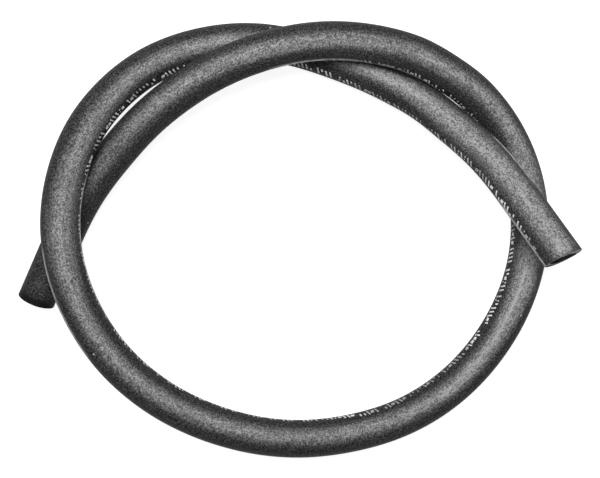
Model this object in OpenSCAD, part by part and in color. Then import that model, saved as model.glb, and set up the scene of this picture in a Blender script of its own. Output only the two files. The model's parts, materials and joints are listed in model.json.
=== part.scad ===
// Length of rubber water hose with two square cut ends, lying in an open overhand loop.
// Five bonded layers make the wall. From the bore outwards they are an inner tube,
// a yarn ply, a tie gum, a second yarn ply wound the other way, and a cover.
// Millimetres, +Z up. The origin is on the floor, under the middle of the loop.

/* [Hose] */
// Diameter of the bore
bore_d = 15.9; // [14:0.1:18]
// Thickness of the rubber inner tube
tube_t = 1.3; // [0.9:0.05:2]
// Thickness of each yarn ply
ply_t = 0.4; // [0.3:0.05:0.8]
// Thickness of the tie gum between the plies
tie_t = 0.2; // [0.15:0.05:0.6]
// Thickness of the rubber cover
cover_t = 1.25; // [0.9:0.05:2]

/* [Lay] */
// Clear height left where one strand crosses over another
cross_gap = 1; // [0.8:0.1:4]
// Straight length at each cut end
end_run = 30; // [23:1:30]

/* [Hidden] */

// Colours of the rubber and the yarn
cover_colour = [0.2, 0.2, 0.21];
gum_colour = [0.12, 0.12, 0.12];
yarn_colour = [0.74, 0.72, 0.66];

// Radii of the layers, from the bore outwards
bore_r = bore_d / 2;
tube_r = bore_r + tube_t;
inner_ply_r = tube_r + ply_t;
tie_r = inner_ply_r + tie_t;
outer_ply_r = tie_r + ply_t;
hose_r = outer_ply_r + cover_t;
hose_d = 2 * hose_r;

// The curved run is a swept polygon, a hair inside the round ends and a little way into
// them. Each side is split at its first and last ring, so that even a thin layer meets
// its round ends all the way.
sides = 10;
end_split = 3;
rings = 41;
ring_inset = 0.02;
seam_lap = 1;
end_fn = 96;

// A bore is cut this far past the cut faces
overrun = 1;

// A resting hose is pressed flat where it bears on the floor
flat_h = hose_d / 10;

// Route of the centreline, which is drawn in towards these points. Plan is in mm for a
// hose of route_d, and height is a share of the rise from one strand to one on top of it.
// The first three and the last three points are evenly spaced on a straight line.
route_d = 23;
route = [
    [-160, -39, 0.09], [-144.5, -6, 0.26], [-129, 27, 0.43], [-104, 57, 0.59],
    [-78, 82, 0.79], [-47, 102, 0.98], [-12, 115, 1.1], [25, 121, 1.08],
    [63.5, 116.5, 0.98], [97.5, 104, 0.78], [127, 78, 0.49], [145.5, 46, 0.27],
    [152.5, 9, 0.15], [147, -29, 0.06], [130, -64, 0], [106, -92, 0],
    [74, -113, 0.06], [38, -123, 0.18], [1, -126, 0.35], [-36, -119, 0.55],
    [-71, -104, 0.77], [-102, -80, 0.97], [-123.5, -49, 1.16], [-136, -13, 1.36],
    [-136, 24, 1.52], [-126, 61.5, 1.29], [-107, 91.5, 0.9], [-77.5, 113, 0.58],
    [-41, 124, 0.28], [-6, 124, 0.08], [31, 112, 0.04], [65, 97, 0.23],
    [95, 74.5, 0.57], [121, 48.5, 1.15], [139.5, 18.5, 1.56], [158, -11.5, 1.97]
];

// A thicker hose lies in a wider loop and lifts higher over itself
spread = hose_d / route_d;
rise = hose_d + cross_gap;
function placed(p) = [p.x * spread, p.y * spread, hose_r - flat_h + p.z * rise];
stations = [for (p = route) placed(p)];
last = len(route) - 1;
poles = concat(
    [2 * stations[0] - stations[1]],
    stations,
    [2 * stations[last] - stations[last - 1]]
);

// Uniform cubic B-spline: t runs from 0 at one cut end to last at the other
function span(t) = min(floor(t), last - 1);
function blend(i, weights) = weights * [for (k = [0:3]) poles[i + k]];
function middle(u) = 3 * pow(u, 3) - 6 * u * u + 4;
function place_weights(u) = [pow(1 - u, 3), middle(u), middle(1 - u), pow(u, 3)] / 6;
function slope(u) = 3 * u * u - 4 * u;
function heading_weights(u) = [-pow(1 - u, 2), slope(u), -slope(1 - u), u * u] / 2;
function place_at(t) = blend(span(t), place_weights(t - span(t)));
function unit(v) = v / norm(v);
function heading_at(t) = unit(blend(span(t), heading_weights(t - span(t))));

// The curved run starts and stops inside the straight ends
lapped_run = end_run - seam_lap;
t_start = lapped_run / norm(stations[1] - stations[0]);
t_stop = last - lapped_run / norm(stations[last] - stations[last - 1]);
function ring_t(k) = t_start + (t_stop - t_start) * k / (rings - 1);

// Number of points in ring k, and the place of its first point among all points
function points_in(k) = k == 0 || k == rings - 1 ? sides * end_split : sides;
function first_in(k) = k == 0 ? 0 : (k - 1 + end_split) * sides;

// One ring of points: square to the route, a flat side down, and no layer lower
// than its own depth in the wall
first_turn = 270 + 180 / sides;
function ring_point(at, across, up, r, turn) =
    let (p = at + (r - ring_inset) * (cos(turn) * across + sin(turn) * up))
    [p.x, p.y, max(p.z, hose_r - r)];
function ring(k, r) =
    let (
        at = place_at(ring_t(k)),
        along = heading_at(ring_t(k)),
        across = unit(cross([0, 0, 1], along)),
        up = cross(along, across),
        count = points_in(k)
    )
    [for (j = [0:count - 1]) ring_point(at, across, up, r, first_turn + j * 360 / count)];

// Triangles between ring k and the next, where one of the two may split each side of the other
function strip(k) =
    let (
        count_a = points_in(k),
        count_b = points_in(k + 1),
        a = first_in(k),
        b = first_in(k + 1),
        step_a = count_a / sides,
        step_b = count_b / sides
    )
    [
        for (j = [0:sides - 1])
            let (
                from_a = j * step_a,
                from_b = j * step_b,
                to_b = (from_b + step_b) % count_b
            )
            each concat(
                [for (m = [0:step_b - 1]) [a + from_a, b + from_b + m, b + (from_b + m + 1) % count_b]],
                [for (m = [0:step_a - 1]) [a + from_a + m, b + to_b, a + (from_a + m + 1) % count_a]]
            )
    ];

// Curved run of a solid rod
module curved_rod(r) {
    points = [for (k = [0:rings - 1]) each ring(k, r)];
    skin = [for (k = [0:rings - 2]) each strip(k)];
    far = first_in(rings - 1);
    first_cap = [for (j = [0:points_in(0) - 1]) j];
    last_cap = [for (j = [points_in(rings - 1) - 1:-1:0]) far + j];
    polyhedron(points, concat(skin, [first_cap, last_cap]), convexity = 20);
}

// Round straight end of a rod, from a cut face at tip inwards towards the next station
module straight_end(tip, next, r, past_tip) {
    inwards = next - tip;
    translate(tip)
        rotate([0, acos(inwards.z / norm(inwards)), atan2(inwards.y, inwards.x)])
            translate([0, 0, -past_tip])
                cylinder(h = end_run + past_tip, r = r, $fn = end_fn);
}

// Solid rod along the whole route
module rod(r, past_tip) {
    straight_end(stations[0], stations[1], r, past_tip);
    curved_rod(r);
    straight_end(stations[last], stations[last - 1], r, past_tip);
}

// One layer of the wall
module layer(r_in, r_out) {
    difference() {
        rod(r_out, 0);
        rod(r_in, overrun);
    }
}

// Space below the floor around the low cut end
module under_floor() {
    block = 2 * (hose_d + end_run);
    translate([stations[0].x, stations[0].y, -block / 2])
        cube(block, center = true);
}

// Sub-parts

module inner_tube() {
    color(gum_colour)
        layer(bore_r, tube_r);
}

module inner_yarn_ply() {
    color(yarn_colour)
        layer(tube_r, inner_ply_r);
}

module tie_gum() {
    color(gum_colour)
        layer(inner_ply_r, tie_r);
}

module outer_yarn_ply() {
    color(yarn_colour)
        layer(tie_r, outer_ply_r);
}

module cover() {
    color(cover_colour)
        difference() {
            layer(outer_ply_r, hose_r);
            under_floor();
        }
}

// Length of the built run, and its least gap to itself between points that lie more than
// rings_apart rings from each other along it
rings_apart = 4;
steps = 16;
stops = concat([place_at(0)], [for (k = [0:rings - 1]) place_at(ring_t(k))], [place_at(last)]);
chords = [for (i = [1:len(stops) - 1]) norm(stops[i] - stops[i - 1])];
hose_length = chords * [for (c = chords) 1];
track = [
    for (i = [1:len(stops) - 1], s = [0:steps - 1])
        stops[i - 1] + (stops[i] - stops[i - 1]) * s / steps
];
apart = rings_apart * steps;
least_gap = -hose_d + min([
    for (i = [0:len(track) - apart - 1], j = [i + apart:len(track) - 1])
        norm(track[i] - track[j])
]);
echo(str("Hose length: ", hose_length, " mm"));
echo(str("Least gap of the hose to itself: ", least_gap, " mm"));

inner_tube();
inner_yarn_ply();
tie_gum();
outer_yarn_ply();
cover();
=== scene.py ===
import json
import math
import random
from bisect import bisect_right

import bmesh
import bpy
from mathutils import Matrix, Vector, noise


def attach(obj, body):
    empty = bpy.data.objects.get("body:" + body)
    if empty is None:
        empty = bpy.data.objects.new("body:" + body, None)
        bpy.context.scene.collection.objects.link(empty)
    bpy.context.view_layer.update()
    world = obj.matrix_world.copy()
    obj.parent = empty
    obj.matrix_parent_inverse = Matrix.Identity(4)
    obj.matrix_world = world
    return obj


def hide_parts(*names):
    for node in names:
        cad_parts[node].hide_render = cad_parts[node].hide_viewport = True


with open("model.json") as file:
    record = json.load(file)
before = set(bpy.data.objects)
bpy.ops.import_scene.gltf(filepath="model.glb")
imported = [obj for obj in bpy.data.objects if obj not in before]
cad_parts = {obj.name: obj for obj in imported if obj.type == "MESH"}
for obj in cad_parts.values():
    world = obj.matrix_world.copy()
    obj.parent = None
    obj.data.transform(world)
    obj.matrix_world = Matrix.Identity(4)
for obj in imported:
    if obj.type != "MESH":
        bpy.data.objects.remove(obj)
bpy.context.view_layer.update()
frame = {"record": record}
bpy.ops.object.select_all(action="DESELECT")

MM = 0.001


# ---------------------------------------------------------------- camera

EYE = (0.00620, -0.00013, 0.53827)
LENS_MM = 50.19
SENSOR_MM = 36.0
NEAREST, FARTHEST = 0.01, 20


def add_camera():
    """A camera straight above the loop, with the long way of the loop across the picture."""
    data = bpy.data.cameras.new("camera")
    data.sensor_width = SENSOR_MM
    data.lens = LENS_MM
    data.clip_start = NEAREST
    data.clip_end = FARTHEST
    camera = bpy.data.objects.new("camera", data)
    camera.location = EYE
    bpy.context.scene.collection.objects.link(camera)
    bpy.context.scene.camera = camera


add_camera()


# ---------------------------------------------------------------- sizes of the hose

mounts = {mount["name"]: mount for mount in frame["record"]["mounts"]}
BORE_R = mounts["low_end_bore"]["dims"]["r_mm"] * MM
HOSE_R = mounts["low_end_outside"]["dims"]["r_mm"] * MM
HOSE_D = 2 * HOSE_R

# Thickness of each layer inside the cover
TUBE_T = 1.3 * MM
PLY_T = 0.4 * MM
TIE_T = 0.2 * MM

# Radii of the layers, from the bore outwards
TUBE_R = BORE_R + TUBE_T
INNER_PLY_R = TUBE_R + PLY_T
TIE_R = INNER_PLY_R + TIE_T
OUTER_PLY_R = TIE_R + PLY_T


# ---------------------------------------------------------------- route of the hose

# The hose is pressed this much flat where it bears on the floor, and a strand on top of
# another clears it by the gap
FLAT_H = HOSE_D / 10
CROSS_GAP = 1 * MM
RISE = HOSE_D + CROSS_GAP

# Route of the centreline: plan in mm, and height as a share of the rise over a strand
ROUTE = [
    (-160, -39, 0.09), (-144.5, -6, 0.26), (-129, 27, 0.43), (-104, 57, 0.59),
    (-78, 82, 0.79), (-47, 102, 0.98), (-12, 115, 1.1), (25, 121, 1.08),
    (63.5, 116.5, 0.98), (97.5, 104, 0.78), (127, 78, 0.49), (145.5, 46, 0.27),
    (152.5, 9, 0.15), (147, -29, 0.06), (130, -64, 0), (106, -92, 0),
    (74, -113, 0.06), (38, -123, 0.18), (1, -126, 0.35), (-36, -119, 0.55),
    (-71, -104, 0.77), (-102, -80, 0.97), (-123.5, -49, 1.16), (-136, -13, 1.36),
    (-136, 24, 1.52), (-126, 61.5, 1.29), (-107, 91.5, 0.9), (-77.5, 113, 0.58),
    (-41, 124, 0.28), (-6, 124, 0.08), (31, 112, 0.04), (65, 97, 0.23),
    (95, 74.5, 0.57), (121, 48.5, 1.15), (139.5, 18.5, 1.56), (158, -11.5, 1.97),
]
STATIONS = [Vector((x * MM, y * MM, HOSE_R - FLAT_H + share * RISE)) for x, y, share in ROUTE]
LAST = len(STATIONS) - 1
POLES = [2 * STATIONS[0] - STATIONS[1], *STATIONS, 2 * STATIONS[-1] - STATIONS[-2]]


def blend(t, weights):
    """Sum of the four poles round place t on the spline, each by its weight."""
    i = min(int(t), LAST - 1)
    total = Vector((0, 0, 0))
    for k, weight in enumerate(weights(t - i)):
        total += weight * POLES[i + k]
    return total


def place_weights(u):
    """Weights of a uniform cubic B-spline."""
    return (
        (1 - u) ** 3 / 6,
        (3 * u**3 - 6 * u**2 + 4) / 6,
        (3 * (1 - u) ** 3 - 6 * (1 - u) ** 2 + 4) / 6,
        u**3 / 6,
    )


def slope_weights(u):
    """Weights of its slope."""
    return (
        -((1 - u) ** 2) / 2,
        (3 * u * u - 4 * u) / 2,
        -(3 * (1 - u) ** 2 - 4 * (1 - u)) / 2,
        u * u / 2,
    )


STEPS_PER_STATION = 60


def measure_route():
    """Places on the spline, and the length of hose from the low end to each."""
    places = [k / STEPS_PER_STATION for k in range(LAST * STEPS_PER_STATION + 1)]
    lengths = [0.0]
    before = blend(0, place_weights)
    for t in places[1:]:
        here = blend(t, place_weights)
        lengths.append(lengths[-1] + (here - before).length)
        before = here
    return places, lengths


SPLINE_PLACES, LENGTHS = measure_route()
HOSE_LENGTH = LENGTHS[-1]


def place_of(s):
    """Place on the spline at length s from the low end."""
    i = min(max(bisect_right(LENGTHS, s) - 1, 0), len(LENGTHS) - 2)
    share = (s - LENGTHS[i]) / (LENGTHS[i + 1] - LENGTHS[i])
    t = SPLINE_PLACES[i] + share * (SPLINE_PLACES[i + 1] - SPLINE_PLACES[i])
    return min(max(t, 0), LAST)


def axes_at(s):
    """Centre of the hose at length s, with its direction, its inner side and its crest."""
    t = place_of(s)
    along = blend(t, slope_weights).normalized()
    inner = along.cross(Vector((0, 0, 1))).normalized()
    return blend(t, place_weights), along, inner, inner.cross(along)


# Where the hose sways a little off its route, next to another strand: share of length, half
# length of the stretch, and how far it moves towards the inner side
SWAYS = [
    (0.1014, 36 * MM, -0.4 * MM),
    (0.2545, 26 * MM, 0.8 * MM),
    (0.7422, 36 * MM, 0.4 * MM),
    (0.902, 26 * MM, -0.7 * MM),
]


def sway_at(s):
    """How far the hose moves towards the inner side at length s."""
    total = 0.0
    for share, half, most in SWAYS:
        off = min(abs(s - share * HOSE_LENGTH) / half, 1)
        total += most * math.cos(math.pi / 2 * off) ** 2
    return total


def on_hose(s, r, turn):
    """Point at length s and radius r, turned by this much from the crest towards the inner side.
    No layer lies lower than its own depth in the wall."""
    centre, _, inner, crest = axes_at(s)
    point = centre + r * math.cos(turn) * crest + (r * math.sin(turn) + sway_at(s)) * inner
    point.z = max(point.z, HOSE_R - r, 0)
    return point


def pulled_straight(s, r, turn):
    """The same point if the hose were pulled straight: length, height and place towards the
    inner side."""
    return Vector((s, r * math.cos(turn), r * math.sin(turn)))


# ---------------------------------------------------------------- painted highlight on the cover

# Where the painted highlight lies along the crest, by share of length: degrees from the crest
# towards the inner side, its half width in degrees, and its strength
PAINTED_HIGHLIGHT_PLACES = [
    (0, 10, 60, 0.12), (0.02, 8, 58, 0.2), (0.05, 2, 48, 0.55), (0.12, -3, 50, 1.0),
    (0.18, 10, 46, 1.05), (0.24, 7, 48, 1.1), (0.29, -8, 50, 1.15), (0.33, 0, 95, 1.35),
    (0.41, 10, 46, 1.38), (0.47, 17, 46, 1.15), (0.52, 20, 46, 1.05), (0.58, 18, 46, 1.05),
    (0.63, 14, 46, 1.15), (0.67, 18, 76, 1.1), (0.72, 27, 56, 1.0), (0.76, 13, 44, 1.1),
    (0.84, 2, 46, 1.2), (0.88, 0, 44, 1.5), (0.93, 4, 72, 1.28), (1, -3, 72, 1.32),
]


def between(places, share):
    """Row of values at this share of the length, eased from one listed place to the next."""
    for (a, *row_a), (b, *row_b) in zip(places, places[1:]):
        if share <= b:
            u = (share - a) / (b - a)
            ease = u * u * (3 - 2 * u)
            return [x + (y - x) * ease for x, y in zip(row_a, row_b)]
    return list(places[-1][1:])


def painted_highlight_at(s, turn):
    """Strength of the painted highlight: full along its middle, and none at its edges."""
    middle, width, strength = between(PAINTED_HIGHLIGHT_PLACES, s / HOSE_LENGTH)
    off = math.degrees(math.acos(math.cos(turn - math.radians(middle)))) / width
    return strength * (0.5 + 0.5 * math.cos(math.pi * min(off, 1)))


# ---------------------------------------------------------------- layers of the wall

AROUND = 48
RING_STEP = 4 * MM

# Lengths of the first rings behind a cut face, places of the rings in it as shares of the
# wall, where the rounded edge bends as a share of its size, and the angle in degrees up to
# which a layer is shaded smooth
CLOSE_RINGS = [0.6 * MM, 1.5 * MM, 3 * MM]
FACE_RINGS = [0, 0.35, 0.7]
EDGE_BEND = 0.3
LAYER_SMOOTH = 35

# The skin of the cover is not quite round
SWELL_H = 0.06 * MM
SWELL_L = 35 * MM

# The cut ends are not quite flat: height of their waves, how close the waves are round the
# hose, how far in they fade out, a shift that gives the high cut waves of its own, and the
# rounding of the rim
CUT_WAVE = 0.25 * MM
CUT_WAVES_AROUND = 1.4
CUT_FADE = 3 * MM
HIGH_CUT_SHIFT = Vector((0, 0, 5))
CUT_EDGE = 0.22 * MM

# The high cut is not quite square: how far it slants either way, and how far in that fades
HIGH_CUT_SKEW = 1.5 * MM
SKEW_FADE = 12 * MM


def swelling(s, turn):
    """How far the skin of the cover stands off a true round."""
    return SWELL_H * noise.noise(Vector((s / SWELL_L, math.cos(turn), math.sin(turn))))


def cut_at(s, turn):
    """Length s with the slight waves of the two cuts and the slant of the high one, which
    fade out a little way in."""
    low = max(1 - s / CUT_FADE, 0)
    high = max(1 - (HOSE_LENGTH - s) / CUT_FADE, 0)
    slant = max(1 - (HOSE_LENGTH - s) / SKEW_FADE, 0) * HIGH_CUT_SKEW * math.sin(turn)
    around = Vector((CUT_WAVES_AROUND * math.cos(turn), CUT_WAVES_AROUND * math.sin(turn), 0))
    low_wave = CUT_WAVE * (0.5 + noise.noise(around))
    high_wave = CUT_WAVE * (0.5 + noise.noise(around + HIGH_CUT_SHIFT))
    return s + low * low_wave - high * high_wave - slant


def on_hose_end(s, r, turn):
    """Point on the hose, or on its straight run out past a cut face."""
    inside = min(max(s, 0), HOSE_LENGTH)
    along = axes_at(inside)[1]
    return on_hose(inside, r, turn) + (s - inside) * along


def add_ring(mesh, straight, s, r, skin=False):
    """One ring of vertices. Each is given its place on the hose as if it were pulled straight,
    the strength of the painted highlight there, and 1 where it lies in a cut face."""
    painted_highlight = mesh.verts.layers.float["painted_highlight"]
    cut = mesh.verts.layers.float["cut"]
    ring = []
    for j in range(AROUND):
        turn = 2 * math.pi * j / AROUND
        far = r + swelling(s, turn) if skin else r
        here = cut_at(s, turn)
        vertex = mesh.verts.new(on_hose_end(here, far, turn))
        vertex[straight] = pulled_straight(here, far, turn)
        vertex[painted_highlight] = painted_highlight_at(here, turn)
        vertex[cut] = 1.0 if s in (0, HOSE_LENGTH) else 0.0
        ring.append(vertex)
    return ring


def wall_stations():
    """Lengths at which a wall has a ring, closer together at the two cut ends."""
    run = HOSE_LENGTH - 2 * RING_STEP
    steps = round(run / RING_STEP)
    stretch = run / steps
    even = [RING_STEP + k * stretch for k in range(steps + 1)]
    return CLOSE_RINGS + even + [HOSE_LENGTH - s for s in reversed(CLOSE_RINGS)]


def wall_section(r_in, r_out, edge):
    """Lengthwise section of a layer: up the inner end, out along the skin and back in the bore."""
    walls = wall_stations()
    depth = r_out - r_in
    low_face = [(0, r_in + depth * share, False) for share in FACE_RINGS]
    low_edge = [(0, r_out - edge, True)]
    if edge > 0:
        bend = EDGE_BEND * edge
        low_edge += [(bend, r_out - bend, True), (edge, r_out, True)]
    outside = [(s, r_out, True) for s in walls]
    high_edge = [(HOSE_LENGTH - s, r, skin) for s, r, skin in reversed(low_edge)]
    high_face = [(HOSE_LENGTH - s, r, skin) for s, r, skin in reversed(low_face)]
    inside = [(s, r_in, False) for s in reversed(walls)]
    return low_face + low_edge + outside + high_edge + high_face + inside


def add_layer(mesh, straight, r_in, r_out, edge=0, rough_skin=False):
    """Closed sleeve from r_in to r_out along the whole hose."""
    rings = [
        add_ring(mesh, straight, s, r, skin and rough_skin)
        for s, r, skin in wall_section(r_in, r_out, edge)
    ]
    for ring, after in zip(rings, rings[1:] + rings[:1]):
        for j in range(AROUND):
            k = (j + 1) % AROUND
            mesh.faces.new((ring[j], ring[k], after[k], after[j]))


def new_piece(name, mesh, smooth_degrees):
    """Object at the origin from a finished mesh, shaded smooth up to this angle."""
    data = bpy.data.meshes.new(name)
    mesh.to_mesh(data)
    mesh.free()
    piece = bpy.data.objects.new(name, data)
    bpy.context.scene.collection.objects.link(piece)
    bpy.context.view_layer.objects.active = piece
    piece.select_set(True)
    bpy.ops.object.shade_smooth_by_angle(angle=math.radians(smooth_degrees))
    piece.select_set(False)
    return piece


def new_mesh():
    """Empty mesh whose vertices know their place on the hose as if it were straight."""
    mesh = bmesh.new()
    mesh.verts.layers.float.new("painted_highlight")
    mesh.verts.layers.float.new("cut")
    return mesh, mesh.verts.layers.float_vector.new("straight")


def make_layer(name, r_in, r_out, edge=0, rough_skin=False):
    """Sleeve as a piece of its own."""
    mesh, straight = new_mesh()
    add_layer(mesh, straight, r_in, r_out, edge, rough_skin)
    return new_piece(name, mesh, LAYER_SMOOTH)


# ---------------------------------------------------------------- yarn plies

CORDS = 64
CORD_R = 0.17 * MM
YARN_ANGLE = math.radians(54.7)
PLY_SMOOTH = 50

# The cut end of a cord: its rings as shares of its height and radius, its least and most
# height in mm, how deep it is sunk, how much wider it is spread round the hose, and its lean
TUFT_SIDES = 8
TUFT_RINGS = [(0, 1.0), (0.45, 1.08), (0.85, 0.72)]
TUFT_H = (0.12, 0.3)
TUFT_SUNK = 0.05 * MM
TUFT_SPREAD = 1.5
TUFT_LEAN = 0.5


def add_tuft(mesh, straight, s, r, turn, height, outwards):
    """Domed end of one cut cord, standing a little proud of the cut face."""
    lean = TUFT_LEAN * height * random.uniform(-1, 1)
    foot = pulled_straight(s, r, turn)
    rings = []
    for rise, width in TUFT_RINGS:
        ring = []
        for j in range(TUFT_SIDES):
            a = 2 * math.pi * j / TUFT_SIDES
            here = s + outwards * (rise * height - TUFT_SUNK)
            far = r + CORD_R * width * math.sin(a)
            at = turn + (CORD_R * width * TUFT_SPREAD * math.cos(a) + lean * rise) / r
            vertex = mesh.verts.new(on_hose_end(here, far, at))
            vertex[straight] = foot
            ring.append(vertex)
        rings.append(ring)
    top = mesh.verts.new(on_hose_end(s + outwards * height, r, turn + lean / r))
    top[straight] = foot
    faces = [mesh.faces.new(rings[0][::-1])]
    for ring, after in zip(rings, rings[1:]):
        for j in range(TUFT_SIDES):
            k = (j + 1) % TUFT_SIDES
            faces.append(mesh.faces.new((ring[j], ring[k], after[k], after[j])))
    for j in range(TUFT_SIDES):
        faces.append(mesh.faces.new((rings[-1][j], rings[-1][(j + 1) % TUFT_SIDES], top)))
    return faces


def make_ply(name, r_in, r_out, hand):
    """Yarn ply: one sleeve, with the ends of its cords standing out of both cut faces."""
    mesh, straight = new_mesh()
    add_layer(mesh, straight, r_in, r_out)
    middle = (r_in + r_out) / 2
    tufts = []
    for k in range(CORDS):
        turn = 2 * math.pi * k / CORDS
        for end, outwards in ((0, -1), (HOSE_LENGTH, 1)):
            phase = hand * end * math.tan(YARN_ANGLE) / middle
            height = random.uniform(*TUFT_H) * MM
            at = (turn + phase) % (2 * math.pi)
            tufts += add_tuft(mesh, straight, cut_at(end, at), middle, at, height, outwards)
    bmesh.ops.recalc_face_normals(mesh, faces=tufts)
    return new_piece(name, mesh, PLY_SMOOTH)


# ---------------------------------------------------------------- printed line

# Where the line runs, as degrees from the crest towards the inner side, by share of length
LINE_TURNS = [
    (0, 118), (0.12, 114), (0.19, 98), (0.23, 82), (0.3, 80), (0.4, 70), (0.44, 76),
    (0.47, 70), (0.5, 90), (0.53, 92), (0.6, 88), (0.67, 91), (0.72, 78), (0.76, 68),
    (0.84, 64), (0.9, 80), (0.95, 70), (1, 74),
]
LINE_MARGIN = 8 * MM
LINE_SMOOTH = 30

# Size of a mark, how many stand in a group, and the gap in mm after a group
MARK_H = 4.4 * MM
MARK_STEP = 2.9 * MM
GROUP_MARKS = (4, 9)
GROUP_GAP = (1.5, 4)

# Width of a stroke of ink, how many lengths it is bent over the hose in, how far its top
# stands above the skin and how far its underside is sunk
STROKE = 1.05 * MM
STROKE_PARTS = 5
INK_TOP = 0.04 * MM
INK_SUNK = 0.05 * MM

# Plain marks of the line: strokes from one corner to another, as shares of the step and
# height. A bar leans this far to each side of the middle.
LEAN = 0.3
BAR = [((0.5 - LEAN, 0), (0.5 + LEAN, 1))]
HALF_BAR_LOW = [((0.5 - LEAN, 0), (0.5, 0.45))]
HALF_BAR_HIGH = [((0.5, 0.55), (0.5 + LEAN, 1))]
SPLIT_BAR = HALF_BAR_LOW + HALF_BAR_HIGH
DOTS = [((0.35, 0.2), (0.65, 0.2)), ((0.35, 0.8), (0.65, 0.8))]
BLOCK = [((0.1, 0.34), (0.9, 0.34)), ((0.1, 0.5), (0.9, 0.5)), ((0.1, 0.66), (0.9, 0.66))]
MARKS = [BAR, BAR, BAR, SPLIT_BAR, HALF_BAR_LOW, HALF_BAR_HIGH, DOTS, BLOCK, BLOCK]


def line_turn(s):
    """Turn of the printed line at length s."""
    return math.radians(between(LINE_TURNS, s / HOSE_LENGTH)[0])


def add_stroke(mesh, straight, s, start, end):
    """Thin slab of ink along one stroke, pressed to the skin of the cover.
    Its two ends are lengthwise and round places in the mark at length s, in metres."""
    base = line_turn(s)
    run = Vector(end) - Vector(start)
    side = Vector((-run.y, run.x)).normalized() * STROKE / 2
    rows = []
    for k in range(STROKE_PARTS + 1):
        middle = Vector(start) + run * k / STROKE_PARTS
        row = []
        for edge, lift in ((-1, -INK_SUNK), (1, -INK_SUNK), (1, INK_TOP), (-1, INK_TOP)):
            place = middle + edge * side
            turn = base + place.y / HOSE_R
            here = s + place.x
            r = HOSE_R + swelling(here, turn) + lift
            vertex = mesh.verts.new(on_hose(here, r, turn))
            vertex[straight] = pulled_straight(here, r, turn)
            row.append(vertex)
        rows.append(row)
    mesh.faces.new(rows[0])
    mesh.faces.new(rows[-1][::-1])
    for row, after in zip(rows, rows[1:]):
        for j in range(4):
            k = (j + 1) % 4
            mesh.faces.new((row[k], row[j], after[j], after[k]))


def make_printed_line():
    """Broken line of plain marks along the inner side of the loop."""
    mesh, straight = new_mesh()
    s = LINE_MARGIN
    last_mark = HOSE_LENGTH - LINE_MARGIN - MARK_STEP
    while s < last_mark:
        for _ in range(random.randint(*GROUP_MARKS)):
            if s > last_mark:
                break
            for stroke in random.choice(MARKS):
                start, end = [(x * MARK_STEP, (y - 0.5) * MARK_H) for x, y in stroke]
                add_stroke(mesh, straight, s, start, end)
            s += MARK_STEP
        s += random.uniform(*GROUP_GAP) * MM
    bmesh.ops.recalc_face_normals(mesh, faces=mesh.faces)
    return new_piece("hose_printed_line", mesh, LINE_SMOOTH)


# ---------------------------------------------------------------- finishes


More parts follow.
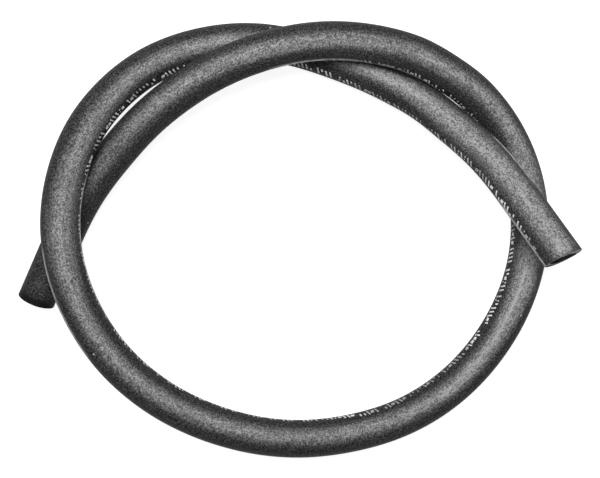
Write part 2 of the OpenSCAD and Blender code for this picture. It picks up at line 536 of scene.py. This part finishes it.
class Finish:
    """A material, built node by node from one rough surface shader."""

    def __init__(self, name, roughness, specular):
        self.material = bpy.data.materials.new(name)
        self.material.use_nodes = True
        self.nodes = self.material.node_tree.nodes
        self.links = self.material.node_tree.links
        self.shader = self.nodes["Principled BSDF"]
        self.shader.inputs["Roughness"].default_value = roughness
        self.shader.inputs["Specular IOR Level"].default_value = specular
        self.straight = self.add("ShaderNodeAttribute", attribute_name="straight").outputs["Vector"]

    def add(self, kind, **settings):
        """One node with these settings."""
        node = self.nodes.new(kind)
        for name, value in settings.items():
            setattr(node, name, value)
        return node

    def put(self, node, name, value):
        """Links an output into an input, or sets the input to a plain value."""
        if hasattr(value, "is_output"):
            self.links.new(value, node.inputs[name])
        else:
            node.inputs[name].default_value = value

    def stretched(self, along, around):
        """Place on the straight hose, measured in lengths of this size along it and round it."""
        node = self.add("ShaderNodeMapping")
        self.put(node, "Vector", self.straight)
        self.put(node, "Scale", (1 / along, 1 / around, 1 / around))
        return node.outputs["Vector"]

    def cloud(self, along, around, detail=2.0, rough=0.5):
        """Soft noise from 0 to 1, with spots of this size."""
        node = self.add("ShaderNodeTexNoise")
        self.put(node, "Vector", self.stretched(along, around))
        self.put(node, "Scale", 1.0)
        self.put(node, "Detail", detail)
        self.put(node, "Roughness", rough)
        return node.outputs["Fac"]

    def pebbles(self, size):
        """Distance to the nearest pebble's middle, for pebbles of this size."""
        node = self.add("ShaderNodeTexVoronoi", feature="F1")
        self.put(node, "Vector", self.stretched(size, size))
        self.put(node, "Scale", 1.0)
        return node.outputs["Distance"]

    def value(self, name):
        """Value that the mesh holds under this name."""
        return self.add("ShaderNodeAttribute", attribute_name=name).outputs["Fac"]

    def straight_parts(self):
        """Place on the straight hose: X along it, Y up it and Z towards its inner side."""
        node = self.add("ShaderNodeSeparateXYZ")
        self.put(node, "Vector", self.straight)
        return node.outputs

    def along_hose(self):
        """Length from the low end."""
        return self.straight_parts()["X"]

    def upper_side(self):
        """0 on the lower part of the hose and 1 on its upper part, with a soft step; it keeps pale
        colours to the upper side, so that the lower side is painted shade.
        """
        return self.ramp(self.straight_parts()["Y"], -0.5 * HOSE_R, 0.5 * HOSE_R)

    def turn(self):
        """Turn from the crest towards the inner side."""
        parts = self.straight_parts()
        return self.math("ARCTAN2", parts["Z"], parts["Y"])

    def math(self, operation, a, b=0.0):
        """One sum on two values."""
        node = self.add("ShaderNodeMath", operation=operation)
        self.put(node, 0, a)
        self.put(node, 1, b)
        return node.outputs["Value"]

    def times(self, *values):
        """Product of values."""
        product = values[0]
        for value in values[1:]:
            product = self.math("MULTIPLY", product, value)
        return product

    def ramp(self, value, low, high, to_low=0.0, to_high=1.0):
        """Smooth step of a value, from to_low at low to to_high at high."""
        node = self.add("ShaderNodeMapRange", interpolation_type="SMOOTHSTEP")
        self.put(node, "Value", value)
        self.put(node, "From Min", low)
        self.put(node, "From Max", high)
        self.put(node, "To Min", to_low)
        self.put(node, "To Max", to_high)
        return node.outputs["Result"]

    def mix(self, share, under, over):
        """Colour over another by this share."""
        node = self.add("ShaderNodeMix", data_type="RGBA")
        self.put(node, "Factor", share)
        colours = [socket for socket in node.inputs if socket.type == "RGBA"]
        for socket, colour in zip(colours, (under, over)):
            if hasattr(colour, "is_output"):
                self.links.new(colour, socket)
            else:
                socket.default_value = (*colour, 1)
        return next(socket for socket in node.outputs if socket.type == "RGBA")

    def bump(self, height, distance, under=None):
        """Raised relief, on top of another relief if there is one."""
        node = self.add("ShaderNodeBump")
        self.put(node, "Height", height)
        self.put(node, "Distance", distance)
        self.put(node, "Strength", 1.0)
        if under is not None:
            self.put(node, "Normal", under)
        return node.outputs["Normal"]

    def set(self, name, value):
        """Links or sets one input of the shader."""
        self.put(self.shader, name, value)


# Colours of the cover
RUBBER_DARK = (0.006, 0.006, 0.006)
RUBBER_PALE = (0.36, 0.36, 0.362)
RUBBER_SPECK = (0.6, 0.6, 0.59)
RUBBER_CUT = (0.7, 0.7, 0.69)
RUBBER_HIGHLIGHT = (0.88, 0.88, 0.87)

# Spots of its surface, along the hose and round it, and how high the fine ones stand
GRAIN = (0.85 * MM, 0.85 * MM)
GRAIN_H = 0.22 * MM
PEBBLE = 0.8 * MM
PEBBLE_H = 0.06 * MM
LUMPS = (2.4 * MM, 1.8 * MM)
PATCHES = (16 * MM, 7 * MM)
STREAKS = (60 * MM, 1.6 * MM)
HIGHLIGHT_PATCHES = (5 * MM, 1.6 * MM)
SPECK_STEP = 11 * MM
SPECK_FIELDS = (30 * MM, 30 * MM)

# Tone of the skin from its hollows to its grains, under the painted highlight and where it is
# bare, how sharply the painted highlight narrows round the crest, and how uneven the tone is
HIGHLIGHT_TONE = (0.14, 0.73)
BARE_TONE = (0.008, 0.2)
CREST_POWER = 1.6
UNEVEN = (0.8, 1.2)

# How far in from each cut face the skin is painted darker as shade, and the share of its tone at
# the rim
LOW_RIM_SHADE_L = 8 * MM
LOW_RIM_TONE = 0.04
HIGH_RIM_SHADE_L = 3 * MM
HIGH_RIM_TONE = 0.4

# Pale lines painted as highlights along the sides where one strand lies over another, and a
# faint painted highlight streak along a crest: from one length to another by share, degrees
# from the crest towards the inner side, half width in degrees, and strength
PAINTED_HIGHLIGHT_LINES = [
    (0.163, 0.215, 91, 16, 1.0),
    (0.207, 0.3, 95, 12, 0.5),
    (0.358, 0.44, 12, 6, 0.13),
    (0.612, 0.668, -60, 12, 0.65),
    (0.62, 0.705, 95, 11, 0.9),
    (0.935, 0.968, -62, 11, 0.65),
    (0.96, 1.008, 87, 13, 0.95),
]

# Share of its half width in which a line is at full strength, and the share of the hose's
# length over which it fades in and out
HIGHLIGHT_LINE_CORE = 0.4
HIGHLIGHT_LINE_FADE = 0.008


def highlight_lines_at(finish, s):
    """Strength of the painted highlight lines at length s."""
    turn = finish.turn()
    total = 0.0
    for start, stop, middle, width, strength in PAINTED_HIGHLIGHT_LINES:
        off = finish.math("ABSOLUTE", finish.math("SUBTRACT", turn, math.radians(middle)))
        across = finish.ramp(off, HIGHLIGHT_LINE_CORE * math.radians(width), math.radians(width), strength, 0)
        begun = finish.ramp(s, start * HOSE_LENGTH, (start + HIGHLIGHT_LINE_FADE) * HOSE_LENGTH)
        left = finish.ramp(s, (stop - HIGHLIGHT_LINE_FADE) * HOSE_LENGTH, stop * HOSE_LENGTH, 1, 0)
        total = finish.math("MAXIMUM", finish.times(across, begun, left), total)
    return total


def cover_tone(finish, s, grain):
    """How pale the skin is at length s, from 0 up: a painted highlight along the crest and painted
    shade at the rims.
    """
    # Painted highlight along the crest, broken up in ragged patches.
    ragged = finish.times(finish.math("SUBTRACT", finish.cloud(*PATCHES), 0.5), 0.5)
    painted_highlight = finish.times(finish.value("painted_highlight"), finish.math("ADD", ragged, 1.0))
    crest = finish.math("POWER", painted_highlight, CREST_POWER)
    highlit = finish.times(crest, finish.ramp(grain, 0.3, 0.7, *HIGHLIGHT_TONE))
    bare = finish.ramp(grain, 0.42, 0.64, *BARE_TONE)
    lumps = finish.ramp(finish.cloud(*LUMPS), 0.35, 0.65, *UNEVEN)
    streaks = finish.ramp(finish.cloud(*STREAKS), 0.2, 0.8, *UNEVEN)
    # Painted shade towards each cut end, darkest at the low one.
    low_rim_shade = finish.ramp(s, 0.3 * LOW_RIM_SHADE_L, LOW_RIM_SHADE_L, LOW_RIM_TONE, 1)
    high_rim_shade = finish.ramp(s, HOSE_LENGTH - HIGH_RIM_SHADE_L, HOSE_LENGTH, 1, HIGH_RIM_TONE)
    return finish.times(finish.math("ADD", highlit, bare), lumps, streaks, low_rim_shade, high_rim_shade)


def cover_rubber():
    """Black rubber with a fine pebbled skin, a painted highlight along its crest, painted
    highlight lines on some sides, painted shade near the cut ends, and cut faces scuffed
    pale on their upper side only, which is partly painted light.
    """
    finish = Finish("cover_rubber", roughness=0.5, specular=0.05)
    grain = finish.cloud(*GRAIN, detail=3, rough=0.65)
    s = finish.along_hose()
    colour = finish.mix(cover_tone(finish, s, grain), RUBBER_DARK, RUBBER_PALE)
    specks = finish.ramp(finish.pebbles(SPECK_STEP), 0.035, 0.06, 1, 0)
    chosen = finish.ramp(finish.cloud(*SPECK_FIELDS), 0.56, 0.6)
    colour = finish.mix(finish.times(specks, chosen), colour, RUBBER_SPECK)
    # Painted highlight lines along the sides and one crest, broken up in patches.
    patchy = finish.ramp(finish.cloud(*HIGHLIGHT_PATCHES, detail=3), 0.35, 0.6, 0.3, 1)
    colour = finish.mix(finish.times(highlight_lines_at(finish, s), patchy), colour, RUBBER_HIGHLIGHT)
    # The cut face is pale on its upper side only: partly a blade scuff, partly painted light, with
    # the dark lower side painted shade.
    blade = finish.ramp(grain, 0.3, 0.6, 0.55, 1)
    scuff_and_painted_light = finish.times(finish.value("cut"), blade, finish.upper_side())
    finish.set("Base Color", finish.mix(scuff_and_painted_light, colour, RUBBER_CUT))
    finish.set("Roughness", finish.ramp(grain, 0.2, 0.8, 0.58, 0.46))
    relief = finish.bump(grain, GRAIN_H)
    finish.set("Normal", finish.bump(finish.pebbles(PEBBLE), PEBBLE_H, under=relief))
    return finish.material


# Colours of the inner tube, the size of the blade's marks on it and how high they stand
TUBE_DARK = (0.008, 0.008, 0.009)
TUBE_PALE = (0.03, 0.03, 0.031)
TUBE_CUT = (0.5, 0.5, 0.49)
BLADE_MARKS = (0.9 * MM, 0.25 * MM)
BLADE_MARK_H = 0.08 * MM


def tube_rubber():
    """Smooth dull black rubber, its cut rim pale on the upper side only: partly a blade scuff,
    partly painted light.
    """
    finish = Finish("tube_rubber", roughness=0.5, specular=0.3)
    marks = finish.cloud(*BLADE_MARKS, detail=3)
    rubber = finish.mix(marks, TUBE_DARK, TUBE_PALE)
    blade = finish.ramp(marks, 0.3, 0.6, 0.4, 0.9)
    # Pale cut rim kept to the upper side: partly a blade scuff, partly painted light, with the dark
    # lower side painted shade.
    scuff_and_painted_light = finish.times(finish.value("cut"), blade, finish.upper_side())
    finish.set("Base Color", finish.mix(scuff_and_painted_light, rubber, TUBE_CUT))
    finish.set("Roughness", finish.ramp(marks, 0.3, 0.7, 0.42, 0.6))
    finish.set("Normal", finish.bump(marks, BLADE_MARK_H))
    return finish.material


# Colours of the yarn, from one fibre to the next: its own pale colour, and darker on the lower side
# as painted shade. Then the rubber between the cords, the size of the fibres, and how high cords
# and fibres stand.
YARN_CLEAN = [(0.42, 0.41, 0.38), (0.78, 0.77, 0.73)]
YARN_SHADED = [(0.05, 0.05, 0.045), (0.12, 0.12, 0.11)]
YARN_GAPS = (0.02, 0.02, 0.02)
FIBRES = (0.5 * MM, 0.09 * MM)
CORD_H = 0.12 * MM
FIBRE_H = 0.05 * MM


def yarn(hand):
    """Pale spiralled cords with dark rubber in the gaps between them."""
    finish = Finish("yarn", roughness=0.85, specular=0.25)
    lead = hand * math.tan(YARN_ANGLE) / TUBE_R
    spiral = finish.math("SUBTRACT", finish.turn(), finish.times(finish.along_hose(), lead))
    wave = finish.math("COSINE", finish.times(spiral, CORDS))
    fibres = finish.cloud(*FIBRES)
    clean = finish.mix(fibres, *YARN_CLEAN)
    shaded = finish.mix(fibres, *YARN_SHADED)
    # The cords keep their pale colour on the upper side and are darker below as painted shade.
    cords = finish.mix(finish.upper_side(), shaded, clean)
    finish.set("Base Color", finish.mix(finish.ramp(wave, -0.5, 0.1), YARN_GAPS, cords))
    relief = finish.bump(wave, CORD_H)
    finish.set("Normal", finish.bump(fibres, FIBRE_H, under=relief))
    return finish.material


# Colours of the ink where it is fresh, faded and worn through, the sizes of the faded
# stretches and of the worn spots, and how deep the worn spots are
INK_FRESH = (1.0, 1.0, 0.99)
INK_FADED = (0.4, 0.4, 0.4)
INK_WORN = (0.16, 0.16, 0.16)
FADED_L = (28 * MM, 28 * MM)
INK_SPOTS = (0.9 * MM, 0.9 * MM)
INK_SPOT_H = 0.1 * MM


def printed_ink():
    """White ink, worn thin where the skin under it is pebbled."""
    finish = Finish("printed_ink", roughness=0.6, specular=0.4)
    wear = finish.cloud(*INK_SPOTS, detail=3, rough=0.7)
    fresh = finish.ramp(finish.cloud(*FADED_L), 0.35, 0.6)
    ink = finish.mix(fresh, INK_FADED, INK_FRESH)
    finish.set("Base Color", finish.mix(finish.ramp(wear, 0.34, 0.5), INK_WORN, ink))
    finish.set("Normal", finish.bump(wear, INK_SPOT_H))
    return finish.material


def dress(piece, material, node):
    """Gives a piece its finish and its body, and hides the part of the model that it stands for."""
    piece.data.materials.append(material)
    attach(piece, "root")
    if node:
        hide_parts(node)
    return piece


# ---------------------------------------------------------------- the hose

SEED = 7
PATH_STEP = 8 * MM

random.seed(SEED)

tube_finish = tube_rubber()
inner_tube = dress(
    make_layer("hose_inner_tube", BORE_R, TUBE_R), tube_finish, "inner_tube"
)
inner_ply = dress(
    make_ply("hose_inner_yarn_ply", TUBE_R, INNER_PLY_R, 1), yarn(1), "inner_yarn_ply"
)
tie_gum = dress(make_layer("hose_tie_gum", INNER_PLY_R, TIE_R), tube_finish, "tie_gum")
outer_ply = dress(
    make_ply("hose_outer_yarn_ply", TIE_R, OUTER_PLY_R, -1), yarn(-1), "outer_yarn_ply"
)
cover = dress(
    make_layer("hose_cover", OUTER_PLY_R, HOSE_R, CUT_EDGE, True),
    cover_rubber(),
    "cover",
)
printed_line = dress(make_printed_line(), printed_ink(), None)

path_steps = round(HOSE_LENGTH / PATH_STEP)
centreline = [axes_at(HOSE_LENGTH * k / path_steps)[0] for k in range(path_steps + 1)]


# ---------------------------------------------------------------- floor and light

FLOOR_D = 16.0

# Grey of the floor as the hose is lit from it and as it is seen, and the glow that it is
# seen with
FLOOR_LIT = (0.3, 0.3, 0.3, 1)
FLOOR_SEEN = (0.4, 0.4, 0.4, 1)
FLOOR_GLOW = 0.9

# Strength of the white surroundings, as light on the hose and as they are seen
WORLD_LIGHT = 0.15
WORLD_SEEN = 1.0
WHITE = (1, 1, 1, 1)


def pale_rays(nodes, links):
    """1 for rays that see the background: straight, mirrored or through glass."""
    path = nodes.new("ShaderNodeLightPath")
    seen = path.outputs["Is Camera Ray"]
    for name in ("Is Glossy Ray", "Is Transmission Ray"):
        either = nodes.new("ShaderNodeMath")
        either.operation = "MAXIMUM"
        links.new(seen, either.inputs[0])
        links.new(path.outputs[name], either.inputs[1])
        seen = either.outputs["Value"]
    return seen


def add_floor():
    """Wide white floor that keeps the soft shadow of the hose."""
    bpy.ops.mesh.primitive_plane_add(size=FLOOR_D)
    floor = bpy.context.active_object
    floor.name = "floor"
    material = bpy.data.materials.new("floor")
    material.use_nodes = True
    nodes, links = material.node_tree.nodes, material.node_tree.links
    nodes.clear()
    matt = nodes.new("ShaderNodeBsdfDiffuse")
    matt.inputs["Color"].default_value = FLOOR_LIT
    bright = nodes.new("ShaderNodeBsdfDiffuse")
    bright.inputs["Color"].default_value = FLOOR_SEEN
    glow = nodes.new("ShaderNodeEmission")
    glow.inputs["Strength"].default_value = FLOOR_GLOW
    shown = nodes.new("ShaderNodeAddShader")
    links.new(bright.outputs["BSDF"], shown.inputs[0])
    links.new(glow.outputs["Emission"], shown.inputs[1])
    choose = nodes.new("ShaderNodeMixShader")
    links.new(pale_rays(nodes, links), choose.inputs["Fac"])
    links.new(matt.outputs["BSDF"], choose.inputs[1])
    links.new(shown.outputs["Shader"], choose.inputs[2])
    output = nodes.new("ShaderNodeOutputMaterial")
    links.new(choose.outputs["Shader"], output.inputs["Surface"])
    floor.data.materials.append(material)


def add_world():
    """White surroundings, dimmer as a light on the hose."""
    world = bpy.data.worlds.new("studio")
    bpy.context.scene.world = world
    world.use_nodes = True
    nodes, links = world.node_tree.nodes, world.node_tree.links
    background = nodes["Background"]
    background.inputs["Color"].default_value = WHITE
    strength = nodes.new("ShaderNodeMapRange")
    strength.inputs["To Min"].default_value = WORLD_LIGHT
    strength.inputs["To Max"].default_value = WORLD_SEEN
    links.new(pale_rays(nodes, links), strength.inputs["Value"])
    links.new(strength.outputs["Result"], background.inputs["Strength"])


LAMP_AT = (-0.04, 0.20, 0.70)
LAMP_D = 0.36
LAMP_WATTS = 5.6


def add_lamp():
    """Round soft lamp above the loop, out of the camera's way."""
    data = bpy.data.lights.new("lamp", "AREA")
    data.shape = "DISK"
    data.size = LAMP_D
    data.energy = LAMP_WATTS
    lamp = bpy.data.objects.new("lamp", data)
    lamp.location = LAMP_AT
    lamp.rotation_euler = Vector(LAMP_AT).to_track_quat("Z", "Y").to_euler()
    lamp.visible_camera = False
    bpy.context.scene.collection.objects.link(lamp)


add_floor()
add_world()
add_lamp()
bpy.context.scene.view_settings.view_transform = "Standard"
